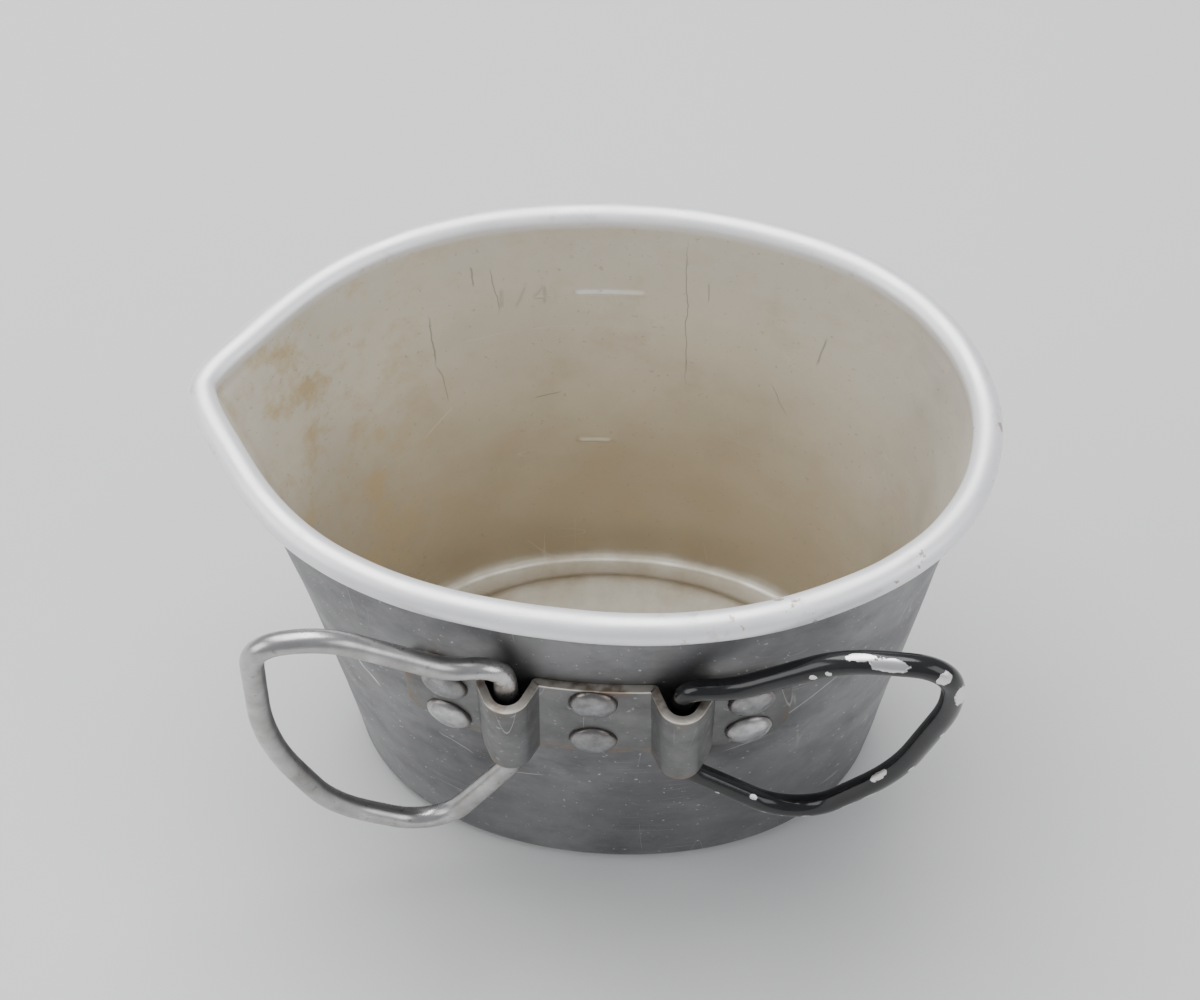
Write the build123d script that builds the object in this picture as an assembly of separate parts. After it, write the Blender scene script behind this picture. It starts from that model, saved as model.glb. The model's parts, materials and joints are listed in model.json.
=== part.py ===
"""Oval aluminium measuring cup with a pinched spout and two folding wire handles, in millimetres.

Frame: +Z up, -Y the handle side, -X the spout, origin at the centre of the foot on the resting plane.
"""
import os
from math import atan2, cos, exp, hypot, radians, sin, sqrt

from build123d import *

# ---- cup ----
cup_rise = 76.0                      # height of the rim bead's centreline
foot_a, foot_b = 40.9, 29.0          # outer half axes of the oval at the foot
lip_a, lip_b = 50.0, 35.1            # outer half axes of the oval at the rim
sheet = 1.1                          # aluminium sheet of the cup
bead_r = 2.1                         # rolled rim bead
bead_out = 0.85                      # bead centreline outward from the wall's outer face
foot_corner_r = 2.6                  # outer radius between wall and foot
disc_a, disc_b = 35.0, 24.0          # raised disc inside the foot ring
disc_rise = 1.1
disc_inset = 0.6                     # underside of the disc smaller than its top side by this
mouth_overrun = 4.0                  # cut through the open mouth past the bead
full_sides = 0.014                   # the oval bulges by this share halfway between its axes
spout_bottom = 20.0                  # height where the spout fades into the wall
spout_reach = 0.13                   # share of the radius added at the spout's tip, at the rim
near_shoulder, far_shoulder = 0.046, 0.018   # part of that reach in the broad shoulders beside it
tip_spread, tip_power = 13.0, 1.6    # degrees and power of the pinched tip's fall
shoulder_spread, shoulder_power = 58.0, 3.0
spout_rise_power = 1.25

# ---- graduation ridges pressed into the far wall ----
marks = [(62.6, -3.0, 10.4), (29.7, -5.1, 5.4)]   # (height, middle, length)
mark_r = 0.55
mark_sink = 0.12                     # centre of the ridge behind the wall's inner face

# ---- handle bracket ----
bracket_x = -1.0                     # middle of the bracket along X
strip_low, strip_high = 40.4, 58.8   # lower and upper edge of the strip
strip_half = 26.4                    # half length along X
strip_t = 1.2
strip_corner_r = 4.5
knuckle_half = 11.9                  # knuckles' middles at bracket_x +- knuckle_half
reach_low, reach_high = 5.85, 6.4    # a knuckle's reach out from the wall at its two ends
groove_low_r, groove_high_r = 1.95, 2.1    # inside radius of its half-round nose at its two ends
mouth_half = 3.5                     # half width of its mouth at the wall
flank_spread = 1.3                   # its outside is wider than its mouth by this, each side
pivot_half = 12.0                    # hinge axes at bracket_x +- pivot_half, loose in the knuckles
pivot_off = 2.5                      # hinge axis outward from the wall

# ---- rivets ----
rivet_shank_r = 1.4
rivet_head_r = 3.4
rivet_head_h = 1.35
rivet_tail_r = 2.7
rivet_tail_h = 0.8
sink = 0.15                          # heads start this deep before strip and wall trim them
rivet_places = {
    "rivet_centre_upper": (-1.3, 55.2), "rivet_centre_lower": (-1.3, 44.4),
    "rivet_left_upper": (-21.6, 53.2), "rivet_left_lower": (-21.5, 44.0),
    "rivet_right_upper": (20.0, 53.2), "rivet_right_lower": (19.9, 44.8),
}

# ---- wire handles ----
wire_r = 1.65
left_rest = 9.0                      # degrees outward from the X axis in the rest pose
right_rest = 1.0
wire_end = 1.6                       # each wire end stops this far from mid height
# Loop corners as (reach from the axis, height over mid height, bend radius), top end to bottom end.
left_loop = [(0, 15.9, 4.2), (7.4, 15.9, 8.5), (22.4, 27.6, 12), (32.4, 27.4, 4.8), (33.8, 0, 60),
             (26.6, -22.6, 20), (11.7, -33.5, 7.2), (0, -14.2, 5)]
right_loop = [(0, 11.9, 3.2), (6.8, 13.0, 12), (20.4, 23.4, 14), (34.7, 23.0, 6), (35.7, 12.5, 25),
              (30.4, -8.5, 35), (17.5, -25.9, 8), (0, -11.6, 5)]


def oval(z):
    """Outer half axes of the wall at height z."""
    s = z / cup_rise
    return foot_a + (lip_a - foot_a) * s, foot_b + (lip_b - foot_b) * s


def outline(angle, z):
    """Point of the wall's outer face, at an angle in degrees off the spout, negative on the handle side."""
    a, b = oval(z)
    away = abs(angle) if abs(angle) <= 180 else 360 - abs(angle)
    near = angle < 0 or angle > 180
    shoulder = near_shoulder if near else far_shoulder
    spout = (spout_reach - shoulder) * exp(-(away / tip_spread) ** tip_power)
    spout += shoulder * exp(-(away / shoulder_spread) ** shoulder_power)
    rise = max(0.0, (z - spout_bottom) / (cup_rise - spout_bottom)) ** spout_rise_power
    k = 1.0 + spout * rise + full_sides * sin(radians(2 * angle)) ** 2
    return -a * k * cos(radians(angle)), b * k * sin(radians(angle))


def outline_points(z, grow):
    """Points round the outline at height z, moved outward by grow along the local normal."""
    steps = [0, 5, 10, 16, 23, 31, 42, 54, 66, 78, 92, 106, 120, 135, 150, 165, 180]
    points = []
    for angle in [float(s) for s in steps] + [360.0 - s for s in steps[-2:0:-1]]:
        x, y = outline(angle, z)
        x0, y0 = outline(angle - 1.5, z)
        x1, y1 = outline(angle + 1.5, z)
        tx, ty = x1 - x0, y1 - y0
        length = hypot(tx, ty)
        points.append((x - grow * ty / length, y + grow * tx / length, z))
    return points


def outline_wire(z, grow):
    return Wire([Edge.make_spline([Vector(*p) for p in outline_points(z, grow)], periodic=True)])


def vessel(low, high, grow):
    """Solid filling the cup's outline between two heights."""
    levels = [low] + [z for z in (12.0, 24.0, 38.0, 52.0, 64.0) if low + 4 < z < high] + [high]
    return Solid.make_loft([outline_wire(z, grow) for z in levels], False)


def rounded_vessel(grow, low, radius):
    """Vessel up to the rim with its lower edge rounded."""
    body = vessel(low, cup_rise, grow)
    return body.fillet(radius, [body.edges().sort_by(Axis.Z)[0]])


def oval_disc(a, b, z, height):
    """Oval plug whose side slopes in at 45 degrees."""
    top = Plane.XY.offset(z + height) * Ellipse(a - height, b - height)
    bottom = Plane.XY.offset(z) * Ellipse(a, b)
    return loft([bottom, top])


def cup_body():
    outside = rounded_vessel(0.0, 0.0, foot_corner_r)
    inside = rounded_vessel(-sheet, sheet, foot_corner_r - sheet)
    mouth = vessel(cup_rise - mouth_overrun, cup_rise + mouth_overrun, -sheet)
    body = Part() + outside - inside - mouth
    body = body + oval_disc(disc_a, disc_b, sheet, disc_rise)
    body = body - oval_disc(disc_a - disc_inset, disc_b - disc_inset, 0.0, disc_rise)
    path = outline_wire(cup_rise, bead_out)
    body = body + sweep(Plane(origin=path @ 0, z_dir=path % 0) * Circle(bead_r), path=path)
    for z, middle, length in marks:
        body = body + graduation(z, middle, length)
    return body


def graduation(z, middle, length):
    """Low rounded ridge standing in from the far wall."""
    y = wall_y(middle, z, 1) - sheet + mark_sink
    half = length / 2 - mark_r
    ridge = Pos(middle, y, z) * Rot(0, 90, 0) * Cylinder(mark_r, 2 * half)
    for side in (-half, half):
        ridge = ridge + Pos(middle + side, y, z) * Sphere(mark_r)
    return ridge


def wall_y(x, z, side=-1):
    """Y of the outer wall, on the handle side or, with side 1, on the far side."""
    low, high = 0.0, 180.0
    for step in range(40):
        angle = (low + high) / 2
        if outline(side * angle, z)[0] < x:
            low = angle
        else:
            high = angle
    return outline(side * low, z)[1]


def wall_point(x, z, out):
    """Point off the handle-side wall by out, along the wall's level normal."""
    slope = wall_y(x + 0.5, z) - wall_y(x - 0.5, z)
    length = hypot(1.0, slope)
    return Vector(x + out * slope / length, wall_y(x, z) - out / length, z)


def strip_band(z_pair):
    """Flat band of the strip, its inner side just inside the wall, which trims it."""
    faces = []
    for z in z_pair:
        stations = [bracket_x + strip_half * i / 6 for i in range(-6, 7)]
        inner = [wall_point(x, z, -sink) for x in stations]
        outer = [wall_point(x, z, strip_t) for x in stations]
        near = Edge.make_spline(inner)
        far = Edge.make_spline(outer)
        faces.append(Wire([near, Edge.make_line(inner[-1], outer[-1]), far,
                           Edge.make_line(outer[0], inner[0])]))
    return Solid.make_loft(faces, True)


def knuckle_wire(side, z, wall, half, inset):
    """Section of a knuckle's hump or groove: a rounded nose on two flanks that open to the wall."""
    up = (z - strip_low) / (strip_high - strip_low)
    radius = groove_low_r + (groove_high_r - groove_low_r) * up + wall
    reach = reach_low + (reach_high - reach_low) * up - strip_t + wall
    cx = bracket_x + side * knuckle_half
    cy = wall_y(cx, z) - reach + radius
    base = wall_y(cx, z) + inset
    span = hypot(half, base - cy)
    lean = atan2(base - cy, half) - atan2(sqrt(span ** 2 - radius ** 2), radius)
    touch_x, touch_y = radius * cos(lean), cy + radius * sin(lean)
    right_foot = Vector(cx + half, base, z)
    left_foot = Vector(cx - half, base, z)
    right_touch = Vector(cx + touch_x, touch_y, z)
    left_touch = Vector(cx - touch_x, touch_y, z)
    nose = Vector(cx, cy - radius, z)
    return Wire([Edge.make_line(left_foot, left_touch),
                 Edge.make_three_point_arc(left_touch, nose, right_touch),
                 Edge.make_line(right_touch, right_foot),
                 Edge.make_line(right_foot, left_foot)])


def knuckle(side, z_pair, wall, half, inset):
    return Solid.make_loft([knuckle_wire(side, z, wall, half, inset) for z in z_pair], True)


def handle_bracket():
    z_pair = (strip_low, strip_high)
    overrun = (strip_low - 2.0, strip_high + 2.0)
    strip = Part() + strip_band(z_pair)
    for side in (-1, 1):
        strip = strip + knuckle(side, z_pair, strip_t, mouth_half + flank_spread, -0.3)
    for side in (-1, 1):
        strip = strip - knuckle(side, overrun, 0.0, mouth_half, strip_t)
    mid = (strip_low + strip_high) / 2
    blank = RectangleRounded(2 * strip_half, strip_high - strip_low, strip_corner_r)
    cutter = extrude(Plane(origin=(bracket_x, 0, mid), z_dir=(0, -1, 0), x_dir=(1, 0, 0)) * blank, 60)
    return strip & cutter


def wall_normal(x, z):
    along = Vector(1.0, wall_y(x + 0.5, z) - wall_y(x - 0.5, z), 0)
    upward = Vector(0, wall_y(x, z + 0.5) - wall_y(x, z - 0.5), 1.0)
    return along.cross(upward).normalized()


def rivet_plane(name):
    x, z = rivet_places[name]
    return Plane(origin=(x, wall_y(x, z), z), z_dir=wall_normal(x, z))


def rivet_blank(name):
    """Domed outer head, shank through strip and wall, low inner head."""
    dome_r = (rivet_head_r ** 2 + rivet_head_h ** 2) / (2 * rivet_head_h)
    dome = Pos(0, 0, strip_t + rivet_head_h - dome_r) * Sphere(dome_r)
    dome = dome & (Pos(0, 0, strip_t + rivet_head_h) * Cylinder(rivet_head_r, 3 * rivet_head_h))
    shank = Pos(0, 0, (strip_t - sheet) / 2) * Cylinder(rivet_shank_r, strip_t + sheet + 1.0)
    tail = Pos(0, 0, -sheet - rivet_tail_h / 2) * Cylinder(rivet_tail_r, rivet_tail_h + 2 * sink)
    tail = fillet(tail.edges().sort_by(Axis.Z)[0], rivet_tail_h * 0.6)
    return rivet_plane(name) * (dome + shank + tail)


def shank_hole(name):
    return rivet_plane(name) * Cylinder(rivet_shank_r, 6 * (strip_t + sheet))


def pivot_frame(side):
    """Mid point of a hinge axis, and its unit direction upward."""
    x = bracket_x + side * pivot_half
    low = Vector(x, wall_y(x, strip_low) - pivot_off, strip_low)
    high = Vector(x, wall_y(x, strip_high) - pivot_off, strip_high)
    return (low + high) * 0.5, (high - low).normalized()


def wire_handle(side, rest, loop):
    """Round wire bent to a loop, its two ends turned in along the hinge axis."""
    mid, up = pivot_frame(side)
    out = Vector(side * cos(radians(rest)), -sin(radians(rest)), 0)
    out = (out - up * out.dot(up)).normalized()
    sheet_plane = Plane(origin=mid, x_dir=out, z_dir=out.cross(up))
    corners = [(0, wire_end)] + [(reach, height) for reach, height, bend in loop] + [(0, -wire_end)]
    path = sheet_plane * FilletPolyline(*corners, radius=[bend for reach, height, bend in loop])
    return sweep(Plane(origin=path @ 0, z_dir=path % 0) * Circle(wire_r), path=path)


def main():
    os.makedirs("parts", exist_ok=True)
    cup, strip = cup_body(), handle_bracket()
    strip = strip - cup
    rivets = {}
    for name in rivet_places:
        hole = shank_hole(name)
        cup, strip = cup - hole, strip - hole
    for name in rivet_places:
        rivets[name] = rivet_blank(name) - cup - strip
    parts = {"cup_body": cup, "handle_bracket": strip,
             "handle_left": wire_handle(-1, left_rest, left_loop),
             "handle_right": wire_handle(1, right_rest, right_loop)}
    parts.update(rivets)
    for name, shape in parts.items():
        export_step(shape, f"parts/{name}.step")
        box = shape.bounding_box()
        print(name, len(shape.solids()), round(shape.volume, 1), box.min, box.max)
    for side in (-1, 1):
        mid, up = pivot_frame(side)
        print("hinge axis through (%.3f, %.3f, %.3f) along (%.5f, %.5f, %.5f)"
              % (mid.X, mid.Y, mid.Z, up.X, up.Y, up.Z))


main()
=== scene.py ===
"""Looks for the oval aluminium measuring cup with folding wire handles. Lengths are millimetres until a
mesh is written; the frame is +Z up, -Y the handle side, -X the spout."""

import json
from functools import lru_cache
from math import acos, atan2, cos, degrees, exp, hypot, pi, radians, sin, sqrt, tan

import bpy
import numpy as np
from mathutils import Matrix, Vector, noise


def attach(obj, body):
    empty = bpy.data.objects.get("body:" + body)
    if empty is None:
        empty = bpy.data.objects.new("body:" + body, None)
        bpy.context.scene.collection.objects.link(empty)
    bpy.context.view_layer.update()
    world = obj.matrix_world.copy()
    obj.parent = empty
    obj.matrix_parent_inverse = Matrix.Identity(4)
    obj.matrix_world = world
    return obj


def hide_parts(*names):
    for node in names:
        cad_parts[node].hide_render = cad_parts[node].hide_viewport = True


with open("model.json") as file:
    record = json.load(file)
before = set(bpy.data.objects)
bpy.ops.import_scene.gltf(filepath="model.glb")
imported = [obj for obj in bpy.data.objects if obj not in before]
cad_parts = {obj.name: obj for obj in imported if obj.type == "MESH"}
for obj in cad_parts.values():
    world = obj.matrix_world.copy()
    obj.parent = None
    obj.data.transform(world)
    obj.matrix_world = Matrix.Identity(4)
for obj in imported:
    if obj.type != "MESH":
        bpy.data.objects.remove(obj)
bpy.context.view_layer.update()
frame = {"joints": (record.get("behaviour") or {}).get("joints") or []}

MM = 0.001

# ---- the design's driving sizes, as in the CAD part ----
CUP_RISE = 76.0                     # height of the rim bead's centreline
FOOT_A, FOOT_B = 40.9, 29.0         # outer half axes at the foot
LIP_A, LIP_B = 50.0, 35.1           # outer half axes at the rim
SHEET = 1.1
BEAD_R, BEAD_OUT = 2.1, 0.85
CORNER_R = 2.6
DISC_A, DISC_B, DISC_RISE, DISC_INSET = 35.0, 24.0, 1.1, 0.6
FULL_SIDES = 0.014                  # the oval bulges by this share halfway between its axes
SPOUT_BOTTOM, SPOUT_REACH, SPOUT_RISE_POWER = 20.0, 0.13, 1.25
NEAR_SHOULDER, FAR_SHOULDER = 0.046, 0.018
TIP_SPREAD, TIP_POWER, SHOULDER_SPREAD, SHOULDER_POWER = 13.0, 1.6, 58.0, 3.0
MARKS = [(62.6, -3.0, 10.4), (29.7, -5.1, 5.4)]     # graduation ridges: height, middle, length
BRACKET_X = -1.0
STRIP_LOW, STRIP_HIGH, STRIP_HALF, STRIP_T, STRIP_CORNER = 40.4, 58.8, 26.4, 1.2, 4.5
KNUCKLE_HALF, REACH_LOW, REACH_HIGH, MOUTH_HALF = 11.9, 5.85, 6.4, 3.5
GROOVE_R = 2.0                      # inside radius of a knuckle's rounded nose
HEAD_R, HEAD_H, SHANK_R, TAIL_R, TAIL_H = 3.4, 1.35, 1.4, 2.7, 0.8
RIVETS = {
    "rivet_centre_upper": (-1.3, 55.2), "rivet_centre_lower": (-1.3, 44.4),
    "rivet_left_upper": (-21.6, 53.2), "rivet_left_lower": (-21.5, 44.0),
    "rivet_right_upper": (20.0, 53.2), "rivet_right_lower": (19.9, 44.8),
}
WIRE_R, WIRE_END = 1.65, 1.6
WIRE_SIDES = 28                     # points round a wire
LEFT_REST, RIGHT_REST = 9.0, 1.0
LEFT_LOOP = [(0, 15.9, 4.2), (7.4, 15.9, 8.5), (22.4, 27.6, 12), (32.4, 27.4, 4.8), (33.8, 0, 60),
             (26.6, -22.6, 20), (11.7, -33.5, 7.2), (0, -14.2, 5)]
RIGHT_LOOP = [(0, 11.9, 3.2), (6.8, 13.0, 12), (20.4, 23.4, 14), (34.7, 23.0, 6), (35.7, 12.5, 25),
              (30.4, -8.5, 35), (17.5, -25.9, 8), (0, -11.6, 5)]

# ---- camera, worked out for the view of a standing person looking down at the handle side ----
CAMERA_AT = (10.6, -213.05, 346.35)
CAMERA_LOOK = (-0.03605, 0.58951, -0.80696)
CAMERA_LENS = 75.0

AROUND = 720                        # columns round the cup


# ------------------------------------------------------------------ mesh helpers
def make_object(name, points, faces, body, replaced=(), smooth=True):
    mesh = bpy.data.meshes.new(name)
    mesh.from_pydata([tuple(c * MM for c in p) for p in points], [], faces)
    mesh.update()
    if smooth:
        mesh.polygons.foreach_set("use_smooth", [True] * len(mesh.polygons))
    obj = bpy.data.objects.new(name, mesh)
    bpy.context.scene.collection.objects.link(obj)
    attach(obj, body)
    if replaced:
        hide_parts(*replaced)
    return obj


def set_attribute(obj, name, values):
    layer = obj.data.attributes.new(name, "FLOAT", "POINT")
    layer.data.foreach_set("value", np.asarray(values, dtype=np.float32))


def grid_faces(rows, columns, wrap, start=0):
    """Quads between consecutive rows of points."""
    last = columns if wrap else columns - 1
    return [(start + r * columns + c, start + r * columns + (c + 1) % columns,
             start + (r + 1) * columns + (c + 1) % columns, start + (r + 1) * columns + c)
            for r in range(rows - 1) for c in range(last)]


def smooth_step(x, low, high):
    t = np.clip((np.asarray(x, dtype=float) - low) / (high - low), 0, 1)
    return t * t * (3 - 2 * t)


# ------------------------------------------------------------------ cup
def oval(z):
    s = z / CUP_RISE
    return FOOT_A + (LIP_A - FOOT_A) * s, FOOT_B + (LIP_B - FOOT_B) * s


def column_angles():
    """Angles off the spout, closer together at the spout's crease."""
    u = np.linspace(-1, 1, AROUND, endpoint=False)
    return 180 * (0.55 * u + 0.45 * u ** 3)


def spout_swell(angles):
    """Share of the radius that the spout adds at the rim, at angles in degrees off the spout."""
    away = np.abs(angles)
    shoulder = np.where(angles < 0, NEAR_SHOULDER, FAR_SHOULDER)
    tip = (SPOUT_REACH - shoulder) * np.exp(-(away / TIP_SPREAD) ** TIP_POWER)
    return tip + shoulder * np.exp(-(away / SHOULDER_SPREAD) ** SHOULDER_POWER)


ANGLES = column_angles()
SWELL = spout_swell(ANGLES)
FULLNESS = FULL_SIDES * np.sin(np.radians(2 * ANGLES)) ** 2
CREASE = 0.006 * np.exp(-(ANGLES / 2.6) ** 2)


def outline(z, grow, inner=0.0):
    """Points round the cup at height z, moved outward by grow; inner sharpens the spout's crease."""
    a, b = oval(z)
    rise = max(0.0, (z - SPOUT_BOTTOM) / (CUP_RISE - SPOUT_BOTTOM)) ** SPOUT_RISE_POWER
    k = 1 + (SWELL + CREASE * inner) * rise + FULLNESS
    turn = np.radians(ANGLES)
    x, y = -a * k * np.cos(turn), b * k * np.sin(turn)
    tx, ty = np.roll(x, -1) - np.roll(x, 1), np.roll(y, -1) - np.roll(y, 1)
    length = np.hypot(tx, ty)
    return np.stack([x - grow * ty / length, y + grow * tx / length, np.full_like(x, z)], -1)


def oval_ring(a, b, z):
    turn = np.radians(ANGLES)
    return np.stack([-a * np.cos(turn), b * np.sin(turn), np.full_like(turn, z)], -1)


def between(ring_a, ring_b, t):
    return ring_a * (1 - t) + ring_b * t


def ridge_height(points):
    """How far the graduation ridges stand in from the far wall at each point."""
    x, y, z = points[:, 0], points[:, 1], points[:, 2]
    lift = np.zeros(len(points))
    for height, middle, length in MARKS:
        half = length / 2 - 0.5
        along = np.maximum(np.abs(x - middle) - half, 0)
        away = np.hypot(along, z - height)
        lift += 0.42 * np.exp(-(away / 0.42) ** 2)
    return lift * (y > 0)


def wander(points, scale, size, seed):
    """Slow hand-worn unevenness."""
    shift = Vector((seed * 7.3, seed * 3.1, seed * 5.7))
    return np.array([noise.noise(Vector(p) * scale + shift) for p in points]) * size


def cup_rows():
    """Rings from the middle of the underside, over the rim, to the middle of the floor."""
    rows = []                        # (ring, how far inside the cup, how far on the bead)
    low_a, low_b = DISC_A - DISC_INSET, DISC_B - DISC_INSET
    for s in (0.03, 0.2, 0.4, 0.6, 0.8, 0.92, 0.98):
        rows.append((oval_ring((low_a - DISC_RISE) * s, (low_b - DISC_RISE) * s, DISC_RISE), 0, 0))
    rows.append((oval_ring(low_a - DISC_RISE + 0.1, low_b - DISC_RISE + 0.1, DISC_RISE - 0.06), 0, 0))
    rows.append((oval_ring(low_a - 0.2, low_b - 0.2, 0.12), 0, 0))
    foot_edge = outline(0.0, -CORNER_R)
    for t in (0.02, 0.3, 0.7, 0.98):
        rows.append((between(oval_ring(low_a, low_b, 0.0), foot_edge, t), 0, 0))
    for step in range(9):
        turn = radians(90 * step / 8)
        z = CORNER_R * (1 - cos(turn))
        ring = outline(z, -CORNER_R * (1 - sin(turn)))
        rows.append((ring, 0, 0))
    for z in np.linspace(CORNER_R + 1.0, CUP_RISE - BEAD_R - 0.6, 62):
        rows.append((outline(z, 0.0), 0, 0))
    for step in range(31):
        turn = radians(-112 + (203 + 112) * step / 30)
        z, grow = CUP_RISE + BEAD_R * sin(turn), max(BEAD_OUT + BEAD_R * cos(turn), -SHEET)
        inward = float(smooth_step(degrees(turn), 120, 190))
        edge = float(smooth_step(degrees(turn), -112, -70) * (1 - smooth_step(degrees(turn), 172, 200)))
        ring = outline(CUP_RISE, grow, inward)
        ring[:, 2] = z
        rows.append((ring, inward, edge))
    heights = set(np.round(np.linspace(CUP_RISE - 2.0, CORNER_R + 0.4, 66), 3))
    for height, _, _ in MARKS:
        heights |= set(np.round(height + np.linspace(-1.3, 1.3, 21), 3))
    for z in sorted(heights, reverse=True):
        rows.append((outline(z, -SHEET, 1.0), 1, 0))
    inner_r = CORNER_R - SHEET
    for step in range(8, -1, -1):
        turn = radians(90 * step / 8)
        z = SHEET + inner_r * (1 - cos(turn))
        rows.append((outline(z, -SHEET - inner_r * (1 - sin(turn))), 1, 0))
    floor_edge = outline(SHEET, -SHEET - inner_r)
    for t in (0.2, 0.5, 0.8, 0.97):
        rows.append((between(floor_edge, oval_ring(DISC_A, DISC_B, SHEET), t), 1, 0))
    for t in (0.12, 0.4, 0.7, 0.92):
        rows.append((oval_ring(DISC_A - DISC_RISE * t, DISC_B - DISC_RISE * t, SHEET + DISC_RISE * t), 1, 0))
    top_a, top_b = DISC_A - DISC_RISE, DISC_B - DISC_RISE
    for s in (0.995, 0.97, 0.9, 0.8, 0.6, 0.4, 0.2, 0.03):
        rows.append((oval_ring(top_a * s, top_b * s, SHEET + DISC_RISE), 1, 0))
    return rows


def cup_mesh():
    rows = cup_rows()
    rings = [ring for ring, inside, bead in rows]
    points = np.concatenate(rings)
    count = len(rings)
    # outward direction in plan, for worn unevenness and the ridges
    flat = np.stack([points[:, 0] / LIP_A ** 2, points[:, 1] / LIP_B ** 2, np.zeros(len(points))], -1)
    flat /= np.linalg.norm(flat, axis=1)[:, None] + 1e-9
    inside = np.repeat([row[1] for row in rows], AROUND)
    bead = np.repeat([row[2] for row in rows], AROUND)
    on_wall = smooth_step(points[:, 2], 3, 12)
    push = (wander(points, 0.045, 0.28, 1) + wander(points, 0.16, 0.07, 2)) * on_wall
    push -= ridge_height(points) * (inside > 0.5)
    points = points + flat * push[:, None]
    points[:, 2] += wander(points, 0.05, 0.10, 3) * bead
    faces = grid_faces(count, AROUND, True)
    first, last = len(points), len(points) + 1
    points = np.concatenate([points, [[0, 0, DISC_RISE]], [[0, 0, SHEET + DISC_RISE]]])
    tail = (count - 1) * AROUND
    faces += [(first, (c + 1) % AROUND, c) for c in range(AROUND)]
    faces += [(last, tail + c, tail + (c + 1) % AROUND) for c in range(AROUND)]
    cup = make_object("cup_shell", points, faces, "cup", ["cup_body"])
    set_attribute(cup, "inside", np.concatenate([inside, [0, 1]]))
    set_attribute(cup, "bead", np.concatenate([bead, [0, 0]]))
    return cup


# ------------------------------------------------------------------ bracket
@lru_cache(maxsize=None)
def near_wall(z):
    """X and Y of the handle-side wall at height z, in order of X."""
    ring = outline(z, 0.0)
    near = ring[ring[:, 1] <= 0]
    order = np.argsort(near[:, 0])
    return near[order, 0], near[order, 1]


def wall_y(x, z):
    return float(np.interp(x, *near_wall(round(z, 3))))


def rounded_corners(points, radii, step):
    """Samples a chain of straight runs joined by arcs, about step apart, in the plane."""
    chain = [Vector(points[0])]
    corners = [Vector(p) for p in points]
    for i in range(1, len(corners) - 1):
        before, corner, after = corners[i - 1], corners[i], corners[i + 1]
        into, out = (before - corner).normalized(), (after - corner).normalized()
        half = into.angle(out) / 2
        back = radii[i - 1] / tan(half)
        start, end = corner + into * back, corner + out * back
        centre = corner + (into + out).normalized() * (radii[i - 1] / sin(half))
        add_run(chain, start, step)
        turn = pi - 2 * half
        count = max(2, int(radii[i - 1] * turn / step))
        a0 = start - centre
        side = 1 if a0.cross(end - centre) > 0 else -1
        for j in range(1, count + 1):
            angle = side * turn * j / count
            chain.append(centre + Vector((a0.x * cos(angle) - a0.y * sin(angle),
                                          a0.x * sin(angle) + a0.y * cos(angle))))
    add_run(chain, corners[-1], step)
    return chain


def add_run(chain, end, step):
    start = chain[-1].copy()
    length = (end - start).length
    count = max(1, int(length / step))
    for j in range(1, count + 1):
        chain.append(start.lerp(end, j / count))


def strip_profile():
    """Inner face of the strip as (x off the bracket's middle, depth off the wall), end to end."""
    middle = REACH_LOW - STRIP_T - GROOVE_R         # depth of the rounded nose's centre
    flank = acos(GROOVE_R / hypot(MOUTH_HALF, middle)) - atan2(middle, MOUTH_HALF)
    apex = MOUTH_HALF / tan(flank)                  # where the two flanks would meet
    right = [(0, 0), (KNUCKLE_HALF - MOUTH_HALF, 0), (KNUCKLE_HALF, apex),
             (KNUCKLE_HALF + MOUTH_HALF, 0), (STRIP_HALF, 0)]
    left = [(-x, d) for x, d in reversed(right[1:])]
    bends = [1.2, GROOVE_R, 1.0]
    return rounded_corners(left + right, bends[::-1] + [0.01] + bends, 0.28)


def strip_faces_at(profile, z):
    """Inner and outer points of the strip at height z; the knuckles open upward."""
    up = (z - STRIP_LOW) / (STRIP_HIGH - STRIP_LOW)
    deeper = 1 + up * ((REACH_HIGH - STRIP_T) / (REACH_LOW - STRIP_T) - 1)
    near = []
    for p in profile:
        knuckle = KNUCKLE_HALF if p.x > 0 else -KNUCKLE_HALF
        hump = float(smooth_step(p.y, 0.0, 1.6))
        x = BRACKET_X + p.x + (p.x - knuckle) * 0.09 * up * hump
        base = wall_y(x, z) * (1 - hump) + wall_y(BRACKET_X + knuckle, z) * hump
        near.append(Vector((x, base - p.y * deeper - 0.03)))
    far = []
    for i, p in enumerate(near):
        along = near[min(i + 1, len(near) - 1)] - near[max(i - 1, 0)]
        along.normalize()
        far.append(p + Vector((along.y, -along.x)) * STRIP_T)
    return near, far


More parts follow.
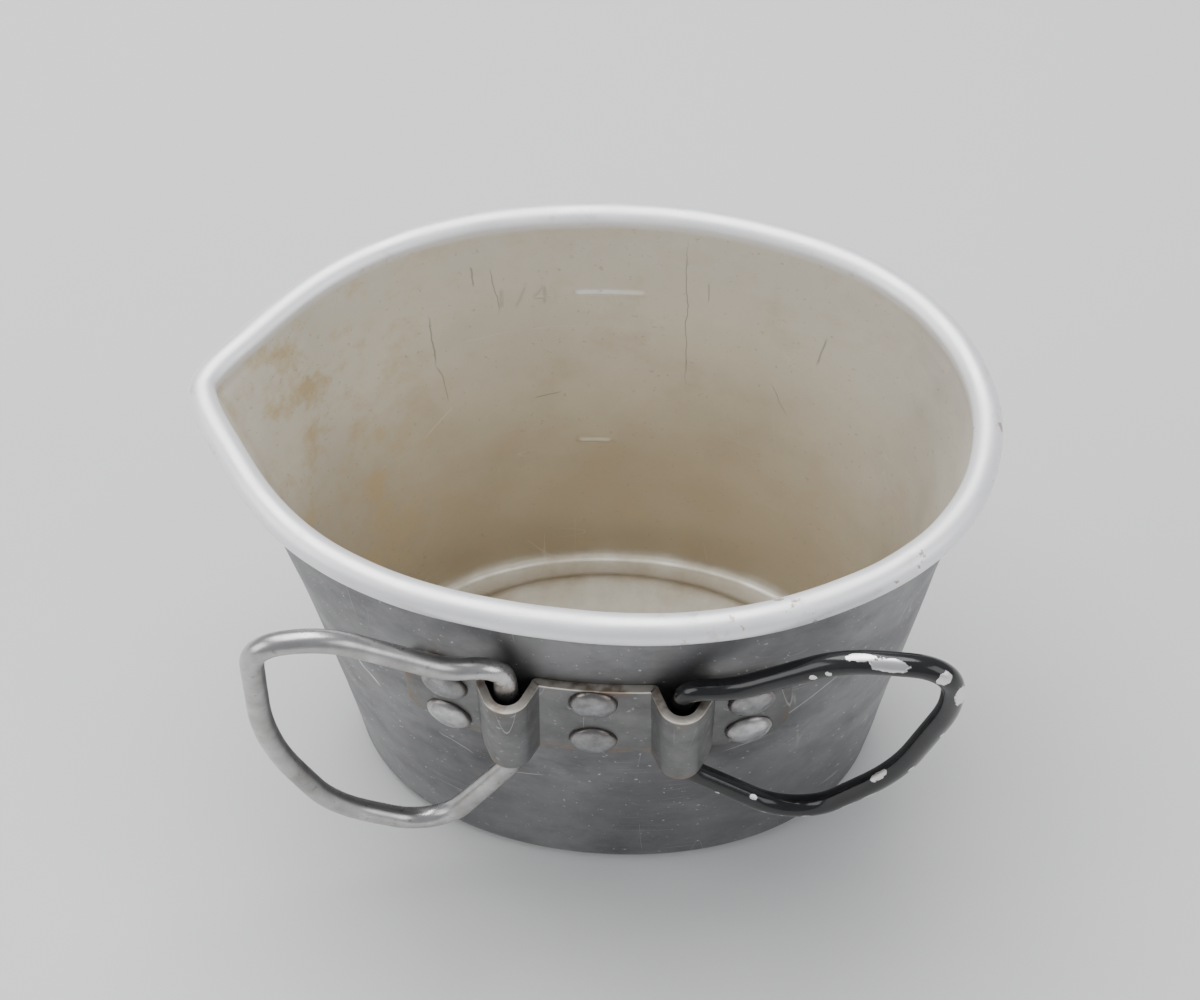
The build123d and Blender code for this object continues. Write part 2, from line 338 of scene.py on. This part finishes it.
def bracket_mesh():
    profile = strip_profile()
    columns, rows = len(profile), 26
    middle, half = (STRIP_LOW + STRIP_HIGH) / 2, (STRIP_HIGH - STRIP_LOW) / 2
    points = []
    edge = []
    for face in (1, 0):
        for r in range(rows):
            v = -cos(pi * r / (rows - 1)) * 0.35 + (2 * r / (rows - 1) - 1) * 0.65
            for c in range(columns):
                x = profile[c].x
                end = STRIP_HALF - abs(x)
                reach = half
                if end < STRIP_CORNER:
                    reach = half - STRIP_CORNER + sqrt(max(0, STRIP_CORNER ** 2 - (STRIP_CORNER - end) ** 2))
                z = middle + v * reach
                points.append((c, z, face, reach - abs(v) * reach, end))
    cache = {}

    def at(c, z, face):
        key = round(z, 4)
        if key not in cache:
            cache[key] = strip_faces_at(profile, z)
        p = cache[key][face][c]
        return (p.x, p.y, z)

    placed = [at(c, z, face) for c, z, face, margin, end in points]
    edge = [exp(-max(0, min(margin, end)) / 0.8) for c, z, face, margin, end in points]
    sheet = rows * columns
    faces = grid_faces(rows, columns, False)
    faces += [tuple(reversed(f)) for f in grid_faces(rows, columns, False, sheet)]
    rim = ([c for c in range(columns)] + [r * columns + columns - 1 for r in range(1, rows)]
           + [(rows - 1) * columns + c for c in range(columns - 2, -1, -1)]
           + [r * columns for r in range(rows - 2, 0, -1)])
    for i, v in enumerate(rim):
        w = rim[(i + 1) % len(rim)]
        faces.append((w, v, v + sheet, w + sheet))
    strip = make_object("bracket_strip", placed, faces, "cup", ["handle_bracket"])
    set_attribute(strip, "edge", edge)
    soften_edges(strip, 0.16)
    return strip


def soften_edges(obj, width):
    bevel = obj.modifiers.new("edges", "BEVEL")
    bevel.width = width * MM
    bevel.segments = 3
    bevel.limit_method = "ANGLE"
    bevel.angle_limit = radians(50)
    bevel.harden_normals = False


# ------------------------------------------------------------------ rivets
def wall_normal(x, z):
    along = Vector((1.0, wall_y(x + 0.5, z) - wall_y(x - 0.5, z), 0))
    upward = Vector((0, wall_y(x, z + 0.5) - wall_y(x, z - 0.5), 1.0))
    return along.cross(upward).normalized()


def rivet_mesh(name, x, z, seed):
    """Hand-set rivet: uneven domed head outside, shank, low head inside."""
    centre, out = Vector((x, wall_y(x, z), z)), wall_normal(x, z)
    side = Vector((0, 0, 1)).cross(out).normalized()
    up = out.cross(side)
    profile = [(0.05, -SHEET - TAIL_H), (TAIL_R * 0.5, -SHEET - TAIL_H), (TAIL_R - 0.35, -SHEET - TAIL_H + 0.05),
               (TAIL_R - 0.05, -SHEET - TAIL_H + 0.35), (TAIL_R, -SHEET - 0.1), (TAIL_R - 0.1, -SHEET + 0.1),
               (SHANK_R, -SHEET + 0.1), (SHANK_R, STRIP_T - 0.12), (HEAD_R - 0.1, STRIP_T - 0.12)]
    for step in range(15):
        t = step / 14
        r = HEAD_R * cos(t * pi / 2) ** 0.92
        profile.append((max(r, 0.05), STRIP_T + 0.02 + HEAD_H * sin(t * pi / 2) ** 0.95))
    columns = 56
    points = []
    for r, h in profile:
        for c in range(columns):
            turn = 2 * pi * c / columns
            where = Vector((cos(turn) * r, sin(turn) * r, h))
            wobble = 1 + 0.045 * noise.noise(Vector((cos(turn), sin(turn), seed)) * 1.1) * (h > 0)
            low = 0.14 * noise.noise(where * 0.55 + Vector((seed * 3.7, 0, 0))) if h > STRIP_T + 0.2 else 0.0
            p = centre + side * (where.x * wobble) + up * (where.y * wobble) + out * (h + low)
            points.append(p)
    faces = grid_faces(len(profile), columns, True)
    faces.append(tuple(reversed(range(columns))))
    faces.append(tuple(range((len(profile) - 1) * columns, len(profile) * columns)))
    faces = [tuple(f) for f in faces]
    rivet = make_object(name.replace("rivet", "set_rivet"), points, faces, "cup", [name])
    # Weight for painted shade round the head's rim, where it sits on the strip.
    rim = [exp(-abs(HEAD_R - r) / 0.5) if h > 0 else 0.0 for r, h in profile for c in range(columns)]
    set_attribute(rivet, "edge", rim)
    return rivet


# ------------------------------------------------------------------ wire handles
def hinge_frame(joint_name, side):
    joint = next(j for j in frame["joints"] if j["name"] == joint_name)
    up = Vector(joint["axis"]).normalized()
    if up.z < 0:
        up = -up
    return Vector(joint["pos_m"]) / MM, up


def wire_line(loop):
    """Centre line of a handle in its own plane, top end to bottom end."""
    corners = [(0, WIRE_END)] + [(x, h) for x, h, r in loop] + [(0, -WIRE_END)]
    line = rounded_corners(corners, [r for x, h, r in loop], 0.45)
    for _ in range(6):               # eases the arcs into each other, as hand-bent wire is
        eased = [line[0]]
        for i in range(1, len(line) - 1):
            steady = abs(line[i].x) < 0.02 and abs(line[i].y) < 9.5
            eased.append(line[i] if steady else (line[i - 1] + line[i] * 2 + line[i + 1]) / 4)
        line = eased + [line[-1]]
    return line


def handle_mesh(name, joint_name, side, rest, loop, body, node, seed):
    mid, up = hinge_frame(joint_name, side)
    out = Vector((side * cos(radians(rest)), -sin(radians(rest)), 0))
    out = (out - up * out.dot(up)).normalized()
    face = out.cross(up).normalized()
    line = wire_line(loop)
    points = []
    for i, p in enumerate(line):
        ahead = line[min(i + 1, len(line) - 1)] - line[max(i - 1, 0)]
        ahead.normalize()
        normal = Vector((-ahead.y, ahead.x))
        for c in range(WIRE_SIDES):
            turn = 2 * pi * c / WIRE_SIDES
            worn = 0.04 + 0.05 * noise.noise(Vector((p.x, p.y, seed)) * 0.12)
            hook = 0.10 * exp(-(p.x / 7.0) ** 2) * float(smooth_step(abs(p.y), 9.5, 12.0))
            r = WIRE_R - (worn if abs(p.x) > 0.5 else 0.0) - hook
            spot = p + normal * (r * cos(turn))
            cross = r * sin(turn)
            points.append(mid + out * spot.x + up * spot.y + face * cross)
    faces = grid_faces(len(line), WIRE_SIDES, True)
    faces.append(tuple(reversed(range(WIRE_SIDES))))
    faces.append(tuple(range((len(line) - 1) * WIRE_SIDES, len(line) * WIRE_SIDES)))
    wire = make_object(name, points, faces, body, [node])
    return wire, line


# Chips in the black paint: reach, height, turn round the wire, half length, half turn.
CHIPS = [
    (26.5, 23.3, 38, 2.6, 38), (22.8, 23.0, 5, 2.2, 22), (33.9, 22.4, 60, 0.9, 45),
    (35.6, 17.5, 40, 2.2, 42), (16.9, 20.3, 80, 0.6, 22), (19.0, 21.6, 80, 0.5, 20),
    (29.6, -9.6, 150, 2.3, 20), (31.4, -4.6, 60, 1.0, 12), (27.0, -14.2, 62, 1.8, 13),
    (23.6, -18.3, 62, 2.4, 11), (18.6, -22.2, 75, 0.8, 10), (15.4, -22.8, 70, 0.5, 12),
    (12.6, -22.0, 70, 0.9, 10), (9.8, -19.9, 150, 0.8, 16), (5.6, -16.2, 80, 0.5, 12),
    (35.2, 6.5, 55, 0.9, 10),
]


def chip_marks(line):
    """1 at the middle of a chip, falling away from it, for each point of the wire's mesh."""
    marks = np.zeros(len(line) * WIRE_SIDES)
    lengths = [0.0]
    for i in range(1, len(line)):
        lengths.append(lengths[-1] + (line[i] - line[i - 1]).length)
    for reach, height, turn, long_half, turn_half in CHIPS:
        nearest = min(range(len(line)), key=lambda i: (line[i] - Vector((reach, height))).length)
        for i, s in enumerate(lengths):
            along = (s - lengths[nearest]) / long_half
            if abs(along) > 2:
                continue
            for c in range(WIRE_SIDES):
                off = ((360 * c / WIRE_SIDES - turn + 180) % 360 - 180) / turn_half
                mark = 1 - 0.5 * sqrt(along ** 2 + off ** 2)
                marks[i * WIRE_SIDES + c] = max(marks[i * WIRE_SIDES + c], mark)
    return marks

# ------------------------------------------------------------------ shader helpers
class Graph:
    """Small builder for a procedural material."""

    def __init__(self, name):
        self.material = bpy.data.materials.new(name)
        self.material.use_nodes = True
        self.tree = self.material.node_tree
        self.tree.nodes.clear()
        self.output = self.tree.nodes.new("ShaderNodeOutputMaterial")
        self.shader = self.tree.nodes.new("ShaderNodeBsdfPrincipled")
        self.tree.links.new(self.shader.outputs[0], self.output.inputs[0])
        self.place = self.tree.nodes.new("ShaderNodeTexCoord").outputs["Object"]

    def put(self, socket, value):
        if isinstance(value, bpy.types.NodeSocket):
            self.tree.links.new(value, socket)
        else:
            socket.default_value = value

    def node(self, kind, inputs=None, **settings):
        made = self.tree.nodes.new(kind)
        for key, value in settings.items():
            setattr(made, key, value)
        for key, value in (inputs or {}).items():
            self.put(made.inputs[key], value)
        return made

    def math(self, operation, a, b=0.0, c=0.0, clamp=False):
        made = self.node("ShaderNodeMath", {0: a, 1: b, 2: c}, operation=operation, use_clamp=clamp)
        return made.outputs[0]

    def span(self, value, low, high, to_low=0.0, to_high=1.0, smooth=False):
        kind = "SMOOTHSTEP" if smooth else "LINEAR"
        made = self.node("ShaderNodeMapRange", {0: value, 1: low, 2: high, 3: to_low, 4: to_high},
                         interpolation_type=kind)
        return made.outputs[0]

    def mix(self, share, a, b, blend="MIX"):
        made = self.node("ShaderNodeMix", {0: share, 6: a, 7: b}, data_type="RGBA", blend_type=blend)
        return made.outputs[2]

    def scaled(self, x, y, z):
        return self.node("ShaderNodeVectorMath", {0: self.place, 1: (x, y, z)}, operation="MULTIPLY").outputs[0]

    def noise(self, scale, detail=4.0, roughness=0.55, vector=None, distortion=0.0):
        made = self.node("ShaderNodeTexNoise", {"Vector": vector or self.place, "Scale": scale, "Detail": detail,
                                                "Roughness": roughness, "Distortion": distortion})
        return made.outputs["Fac"]

    def attribute(self, name):
        return self.node("ShaderNodeAttribute", attribute_name=name).outputs["Fac"]

    def hairlines(self, vector, scale, width, cover):
        """Thin broken scratches along the direction in which vector is squeezed."""
        line = self.math("ABSOLUTE", self.math("SUBTRACT", self.noise(scale, 0.0, 0.5, vector), 0.5))
        thin = self.span(line, 0.0, width, 1.0, 0.0)
        parts = self.span(self.noise(scale * 0.35, 1.0, 0.5), cover, cover + 0.08)
        return self.math("MULTIPLY", thin, parts)

    def bump(self, height, distance, strength=1.0, after=None):
        inputs = {"Height": height, "Distance": distance * MM, "Strength": strength}
        if after is not None:
            inputs["Normal"] = after
        return self.node("ShaderNodeBump", inputs).outputs[0]

    def finish(self, colour, roughness, normal=None, metallic=1.0, **constants):
        self.put(self.shader.inputs["Base Color"], colour)
        self.put(self.shader.inputs["Roughness"], roughness)
        self.put(self.shader.inputs["Metallic"], metallic)
        if normal is not None:
            self.put(self.shader.inputs["Normal"], normal)
        for key, value in constants.items():
            self.shader.inputs[key.replace("_", " ")].default_value = value
        return self.material


def rgb(r, g, b):
    return (r, g, b, 1.0)


# Inside greys: lit at the top, darker and browner low down. The change between them is mostly painted shade in
# the bottom of the cup.
INSIDE_LIT_HIGH, INSIDE_SHADED_LOW = rgb(0.87, 0.845, 0.775), rgb(0.54, 0.475, 0.365)
# Outside greys, both kept dark: painted dark reflection over the metal's own cloudy tone.
OUTSIDE_PALE_WITH_DARK_REFLECTION, OUTSIDE_DEEP_WITH_DARK_REFLECTION = rgb(0.27, 0.27, 0.275), rgb(0.155, 0.155, 0.16)
# Near-white rim: painted highlight where the rolled bead catches the overhead light.
BEAD_PAINTED_HIGHLIGHT = rgb(0.96, 0.96, 0.98)
BRACKET_LIGHT, BRACKET_DARK = rgb(0.22, 0.22, 0.22), rgb(0.13, 0.13, 0.13)
WIRE_LIGHT, WIRE_DARK = rgb(0.56, 0.55, 0.55), rgb(0.32, 0.31, 0.30)


# Scratches on the far wall's inside: x and z of both ends, half width, and how dark; then on the near
# wall's outside. A negative darkness is a bright scratch.
FAR_SCRATCHES = [
    (8.6, 73.5, 8.9, 44.0, 0.07, 0.55), (-23.5, 70.0, -23.0, 66.0, 0.10, 0.5),
    (-20.6, 69.0, -19.2, 60.0, 0.08, 0.5), (-29.8, 62.0, -29.0, 52.0, 0.09, 0.5),
    (-29.0, 52.0, -27.2, 44.0, 0.07, 0.45), (-14.5, 40.3, -10.5, 41.2, 0.12, 0.5),
    (29.6, 62.0, 28.6, 56.0, 0.13, 0.5), (-25.5, 55.2, -17.8, 55.6, 0.08, -0.5),
    (-15.2, 55.6, -6.2, 55.8, 0.07, -0.45), (-31.0, 38.0, -26.5, 42.5, 0.14, -0.35),
    (22.0, 48.5, 24.8, 43.0, 0.07, 0.4), (11.8, 66.5, 12.0, 62.5, 0.08, 0.4),
]
NEAR_SCRATCHES = [
    (-36.0, 42.5, -33.0, 38.0, 0.16, -0.6), (-15.5, 26.5, -9.0, 28.0, 0.10, -0.4),
    (14.0, 24.0, 20.5, 29.5, 0.16, 0.5), (26.0, 33.0, 30.0, 38.5, 0.14, 0.4),
    (24.5, 42.0, 33.0, 50.0, 0.12, -0.4), (1.0, 18.0, 3.5, 12.0, 0.08, 0.4),
    (-24.0, 33.0, -19.5, 29.0, 0.10, -0.4), (-3.0, 33.5, 4.0, 33.0, 0.09, 0.35),
    (17.0, 36.0, 24.0, 38.5, 0.10, -0.4),
]
# The stamped quarter mark beside the upper ridge, as strokes.
STAMP = [(-19.0, 64.6, -19.0, 60.6), (-16.9, 60.4, -15.4, 64.8), (-12.6, 64.6, -14.4, 62.0),
         (-14.4, 62.0, -11.6, 62.0), (-12.6, 64.6, -12.6, 60.6)]


def strokes(g, x, z, lines, sign):
    """Mask of those strokes (x0, z0, x1, z1, half width, darkness) whose darkness has this sign."""
    total = 0.0
    for x0, z0, x1, z1, half, dark in lines:
        if dark * sign <= 0:
            continue
        length = sqrt((x1 - x0) ** 2 + (z1 - z0) ** 2)
        ux, uz = (x1 - x0) / length, (z1 - z0) / length
        middle_x, middle_z = (x0 + x1) / 2 * MM, (z0 + z1) / 2 * MM
        dx, dz = g.math("SUBTRACT", x, middle_x), g.math("SUBTRACT", z, middle_z)
        along = g.math("ABSOLUTE", g.math("MULTIPLY_ADD", dx, ux, g.math("MULTIPLY", dz, uz)))
        across = g.math("ABSOLUTE", g.math("MULTIPLY_ADD", dx, -uz, g.math("MULTIPLY", dz, ux)))
        mask = g.math("MULTIPLY", g.span(across, half * MM * 0.4, half * MM * 1.6, abs(dark), 0.0),
                      g.span(along, length / 2 * MM * 0.7, length / 2 * MM * 1.1, 1.0, 0.0))
        total = g.math("MAXIMUM", mask, total)
    return total


def cup_material():
    g = Graph("worn_aluminium")
    inside, bead = g.attribute("inside"), g.attribute("bead")
    x, y, z = g.node("ShaderNodeSeparateXYZ", {0: g.place}).outputs
    far, near = g.math("GREATER_THAN", y, 0.0), g.math("LESS_THAN", y, 0.0)
    drawn = g.noise(1.0, 5.0, 0.6, g.scaled(90, 90, 2600))
    grain = g.noise(2600, 3.0, 0.6)
    cloud = g.noise(38, 5.0, 0.6)
    fine_cloud = g.noise(110, 6.0, 0.62)
    speckle = g.noise(1100, 3.0, 0.6)
    # a slight waver keeps the strokes from looking ruled
    waver = g.math("MULTIPLY", g.math("SUBTRACT", g.noise(160, 2.0), 0.5), 0.0016)
    wx, wz = g.math("ADD", x, waver), g.math("ADD", z, waver)

    # Painted shade: the inside darkens and browns towards the floor, broken up by cloud noise.
    depth = g.span(z, 0.068, 0.016, smooth=True)
    uneven = g.math("ADD", depth, g.math("MULTIPLY", g.math("SUBTRACT", cloud, 0.5), 0.9), clamp=True)
    warm = g.mix(uneven, INSIDE_LIT_HIGH, INSIDE_SHADED_LOW)
    warm = g.mix(g.span(fine_cloud, 0.52, 0.75, 0.0, 0.40), warm, rgb(0.66, 0.53, 0.37))
    by_spout = g.math("MULTIPLY", g.span(x, -0.024, -0.044), g.span(g.noise(150, 5.0, 0.7), 0.50, 0.68))
    warm = g.mix(g.math("MULTIPLY", by_spout, 0.75), warm, rgb(0.70, 0.55, 0.30))
    warm = g.mix(g.span(speckle, 0.64, 0.72, 0.0, 0.35), warm, rgb(0.34, 0.29, 0.24))
    floor_tone = g.mix(g.span(fine_cloud, 0.4, 0.7), rgb(0.64, 0.62, 0.56), rgb(0.48, 0.43, 0.34))
    warm = g.mix(g.span(z, 0.0032, 0.0022), warm, floor_tone)
    # A dark brown band round the edge of the floor's raised disc.
    ring = g.math("ADD", g.math("POWER", g.math("DIVIDE", x, (DISC_A - 0.4) * MM), 2.0),
                  g.math("POWER", g.math("DIVIDE", y, (DISC_B - 0.4) * MM), 2.0))
    ragged = g.math("ADD", ring, g.math("MULTIPLY", fine_cloud, 0.06))
    off_ring = g.math("ABSOLUTE", g.math("SUBTRACT", ragged, 1.04))
    brown_edge_band = g.math("MULTIPLY", g.span(off_ring, 0.02, 0.22, 0.42, 0.0), g.span(z, 0.0042, 0.0034))
    warm = g.mix(brown_edge_band, warm, rgb(0.20, 0.13, 0.07))

    # Outside: cloudy metal tone, darkened overall as a painted dark reflection. The smudges and specks are real.
    outside_tone_and_dark_reflection = g.mix(g.span(cloud, 0.35, 0.65), OUTSIDE_PALE_WITH_DARK_REFLECTION, OUTSIDE_DEEP_WITH_DARK_REFLECTION)
    outside_tone_and_dark_reflection = g.mix(g.span(fine_cloud, 0.45, 0.65, 0.0, 0.6), outside_tone_and_dark_reflection, OUTSIDE_DEEP_WITH_DARK_REFLECTION)
    smudge = g.span(g.noise(80, 5.0, 0.7, g.scaled(1, 1, 1.5)), 0.52, 0.74, 0.0, 0.42)
    outside_tone_and_dark_reflection = g.mix(smudge, outside_tone_and_dark_reflection, rgb(0.07, 0.07, 0.075))
    outside_tone_and_dark_reflection = g.mix(g.span(speckle, 0.66, 0.72, 0.0, 0.55), outside_tone_and_dark_reflection, rgb(0.80, 0.80, 0.80))
    colour = g.mix(inside, outside_tone_and_dark_reflection, warm)
    # The bead is painted near white as a highlight, with real dark spots over it.
    bead_highlight_and_spots = g.mix(g.span(g.noise(240, 5.0, 0.7), 0.60, 0.74, 0.0, 0.5), BEAD_PAINTED_HIGHLIGHT, rgb(0.55, 0.50, 0.45))
    colour = g.mix(bead, colour, bead_highlight_and_spots)
    rust = g.math("MULTIPLY", g.span(g.noise(420, 3.0, 0.6), 0.66, 0.70), g.math("MULTIPLY", bead, near))
    rust = g.math("MULTIPLY", rust, g.span(x, 0.005, 0.02, 0.0, 0.7))
    colour = g.mix(rust, colour, rgb(0.35, 0.22, 0.12))

    on_far = g.math("MULTIPLY", inside, far)
    on_near = g.math("MULTIPLY", g.math("SUBTRACT", 1.0, inside), near)
    dark = g.math("ADD", g.math("MULTIPLY", strokes(g, wx, wz, FAR_SCRATCHES, 1), on_far),
                  g.math("MULTIPLY", strokes(g, wx, wz, NEAR_SCRATCHES, 1), on_near))
    bright = g.math("ADD", g.math("MULTIPLY", strokes(g, wx, wz, FAR_SCRATCHES, -1), on_far),
                    g.math("MULTIPLY", strokes(g, wx, wz, NEAR_SCRATCHES, -1), on_near))
    stamp = g.math("MULTIPLY", strokes(g, x, z, [line + (0.22, 1.0) for line in STAMP], 1), on_far)
    hair = g.math("MAXIMUM", g.hairlines(g.scaled(1, 1, 0.10), 260, 0.006, 0.60),
                  g.hairlines(g.scaled(0.12, 0.12, 1.2), 240, 0.006, 0.60))
    colour = g.mix(dark, colour, rgb(0.16, 0.15, 0.14))
    scraped = g.math("ADD", bright, g.math("MULTIPLY", hair, 0.28), clamp=True)
    colour = g.mix(scraped, colour, rgb(0.93, 0.92, 0.90))
    colour = g.mix(g.math("MULTIPLY", stamp, 0.22), colour, rgb(0.30, 0.28, 0.25))

    rough = g.math("ADD", g.span(fine_cloud, 0.3, 0.7, 0.36, 0.52), g.math("MULTIPLY", drawn, 0.06))
    normal = g.bump(drawn, 0.014)
    normal = g.bump(grain, 0.012, 1.0, normal)
    cuts = g.math("ADD", g.math("ADD", dark, bright), g.math("MULTIPLY", hair, 0.5))
    normal = g.bump(cuts, -0.03, 1.0, normal)
    normal = g.bump(stamp, 0.10, 1.0, normal)
    # Lower metallic on the bead lets its painted highlight read white.
    metallic = g.math("SUBTRACT", 0.88, g.math("MULTIPLY", bead, 0.30))
    metallic = g.math("SUBTRACT", metallic, g.math("MULTIPLY", inside, 0.20))
    return g.finish(colour, rough, normal, metallic)


def bracket_material():
    g = Graph("bracket_aluminium")
    edge = g.attribute("edge")
    cloud = g.noise(150, 5.0, 0.6)
    z = g.node("ShaderNodeSeparateXYZ", {0: g.place}).outputs[2]
    tone = g.mix(g.span(cloud, 0.3, 0.7), BRACKET_LIGHT, BRACKET_DARK)
    speckle = g.span(g.noise(1000, 4.0, 0.6), 0.62, 0.70, 0.0, 0.4)
    tone = g.mix(speckle, tone, rgb(0.62, 0.62, 0.62))
    # Painted highlight: a lighter, warmer line along the strip's top edge, where the overhead light catches it.
    top = g.span(z, (STRIP_HIGH - 0.5) * MM, (STRIP_HIGH - 0.1) * MM)
    tone = g.mix(top, tone, rgb(0.80, 0.74, 0.66))
    brown_edge_band = g.math("MULTIPLY", edge, g.span(g.noise(260, 3.0), 0.45, 0.6))
    tone = g.mix(g.math("MULTIPLY", brown_edge_band, 0.8), tone, rgb(0.26, 0.17, 0.10))
    hair = g.hairlines(g.scaled(1, 1, 0.12), 260, 0.008, 0.54)
    tone = g.mix(g.math("MULTIPLY", hair, 0.5), tone, rgb(0.75, 0.75, 0.74))
    rough = g.span(cloud, 0.3, 0.7, 0.32, 0.48)
    normal = g.bump(g.noise(2400, 3.0), 0.010)
    normal = g.bump(g.noise(300, 4.0), 0.03, 1.0, normal)
    return g.finish(tone, rough, normal, 0.92)


def rivet_material(name, light, dark):
    g = Graph(name)
    edge = g.attribute("edge")
    cloud = g.noise(420, 4.0, 0.65)
    tone = g.mix(g.span(cloud, 0.35, 0.65), light, dark)
    # Painted shade round the rim of the head, where it meets the strip.
    tone = g.mix(g.math("MULTIPLY", edge, 0.75), tone, rgb(0.16, 0.13, 0.11))
    rough = g.span(cloud, 0.3, 0.7, 0.22, 0.44)
    normal = g.bump(g.noise(1300, 4.0, 0.6), 0.035)
    return g.finish(tone, rough, normal, 0.95)


def wire_material():
    g = Graph("bare_wire_aluminium")
    cloud = g.noise(170, 5.0, 0.6)
    tone = g.mix(g.span(cloud, 0.3, 0.7), WIRE_LIGHT, WIRE_DARK)
    spots = g.span(g.noise(900, 3.0, 0.6), 0.62, 0.70)
    tone = g.mix(g.math("MULTIPLY", spots, 0.6), tone, rgb(0.22, 0.20, 0.18))
    rough = g.span(cloud, 0.3, 0.7, 0.24, 0.38)
    normal = g.bump(g.noise(1300, 4.0, 0.6), 0.016)
    return g.finish(tone, rough, normal, 0.95)


def painted_material():
    g = Graph("chipped_black_paint")
    chip = g.attribute("chip")
    ragged = g.math("ADD", chip, g.math("MULTIPLY", g.math("SUBTRACT", g.noise(900, 5.0, 0.7), 0.5), 0.7))
    bare = g.span(ragged, 0.50, 0.54)
    paint = g.mix(g.span(g.noise(220, 4.0), 0.3, 0.7), rgb(0.006, 0.006, 0.007), rgb(0.016, 0.016, 0.017))
    metal = g.mix(g.noise(500, 3.0), rgb(0.90, 0.89, 0.88), rgb(0.62, 0.61, 0.60))
    tone = g.mix(bare, paint, metal)
    rough = g.span(bare, 0.0, 1.0, 0.16, 0.34)
    normal = g.bump(g.math("SUBTRACT", 1.0, bare), 0.06)
    normal = g.bump(g.noise(900, 4.0), 0.012, 1.0, normal)
    return g.finish(tone, rough, normal, bare)


# ------------------------------------------------------------------ studio
def floor_and_lights():
    size = 3.0
    points = [(-size, -size, 0), (size, -size, 0), (size, size, 0), (-size, size, 0)]
    mesh = bpy.data.meshes.new("floor")
    mesh.from_pydata(points, [], [(0, 1, 2, 3)])
    floor = bpy.data.objects.new("floor", mesh)
    bpy.context.scene.collection.objects.link(floor)
    g = Graph("pale_floor")
    tone = g.mix(g.noise(6, 3.0), rgb(0.66, 0.66, 0.65), rgb(0.70, 0.70, 0.69))
    floor.data.materials.append(g.finish(tone, g.span(g.noise(40, 3.0), 0.3, 0.7, 0.6, 0.75), None, 0.0))
    add_light("overhead", (-0.12, 0.22, 0.75), (0, 0, 0.04), 0.7, 9.0)
    add_light("left_fill", (-0.8, -0.25, 0.45), (0, 0, 0.04), 0.6, 3.0)
    add_light("right_fill", (0.8, -0.35, 0.5), (0, 0, 0.04), 0.6, 2.5)
    world = bpy.data.worlds.new("studio")
    bpy.context.scene.world = world
    world.use_nodes = True
    background = world.node_tree.nodes["Background"]
    background.inputs["Color"].default_value = rgb(0.80, 0.83, 0.88)
    background.inputs["Strength"].default_value = 0.55


def add_light(name, place, target, size, power):
    data = bpy.data.lights.new(name, "AREA")
    data.shape = "SQUARE"
    data.size = size
    data.energy = power
    light = bpy.data.objects.new(name, data)
    bpy.context.scene.collection.objects.link(light)
    light.location = place
    light.rotation_mode = "QUATERNION"
    light.rotation_quaternion = (Vector(target) - Vector(place)).to_track_quat("-Z", "Y")


def add_camera():
    data = bpy.data.cameras.new("camera")
    data.lens = CAMERA_LENS
    data.sensor_width = 36.0
    data.clip_start = 0.01
    camera = bpy.data.objects.new("camera", data)
    bpy.context.scene.collection.objects.link(camera)
    camera.location = Vector(CAMERA_AT) * MM
    camera.rotation_mode = "QUATERNION"
    camera.rotation_quaternion = Vector(CAMERA_LOOK).to_track_quat("-Z", "Y")
    bpy.context.scene.camera = camera


def main():
    add_camera()
    floor_and_lights()
    cup = cup_mesh()
    cup.data.materials.append(cup_material())
    strip = bracket_mesh()
    strip.data.materials.append(bracket_material())
    # The two lower side rivets get a lighter copy of the rivet material: painted highlight on their heads.
    painted_highlight_rivets = rivet_material("rivet_painted_highlight", rgb(0.62, 0.62, 0.63), rgb(0.36, 0.36, 0.37))
    dull_rivets = rivet_material("dull_rivet", rgb(0.34, 0.34, 0.35), rgb(0.20, 0.20, 0.20))
    for seed, (name, (x, z)) in enumerate(RIVETS.items()):
        # Picks the lighter, painted-highlight copy for the two lower side rivets.
        worn = painted_highlight_rivets if name in ("rivet_left_lower", "rivet_right_lower") else dull_rivets
        rivet_mesh(name, x, z, seed + 1.5).data.materials.append(worn)
    left, _ = handle_mesh("wire_left", "handle_left_swing", -1, LEFT_REST, LEFT_LOOP,
                          "handle_left", "handle_left", 2.0)
    left.data.materials.append(wire_material())
    right, line = handle_mesh("wire_right", "handle_right_swing", 1, RIGHT_REST, RIGHT_LOOP,
                              "handle_right", "handle_right", 5.0)
    set_attribute(right, "chip", chip_marks(line))
    right.data.materials.append(painted_material())


main()
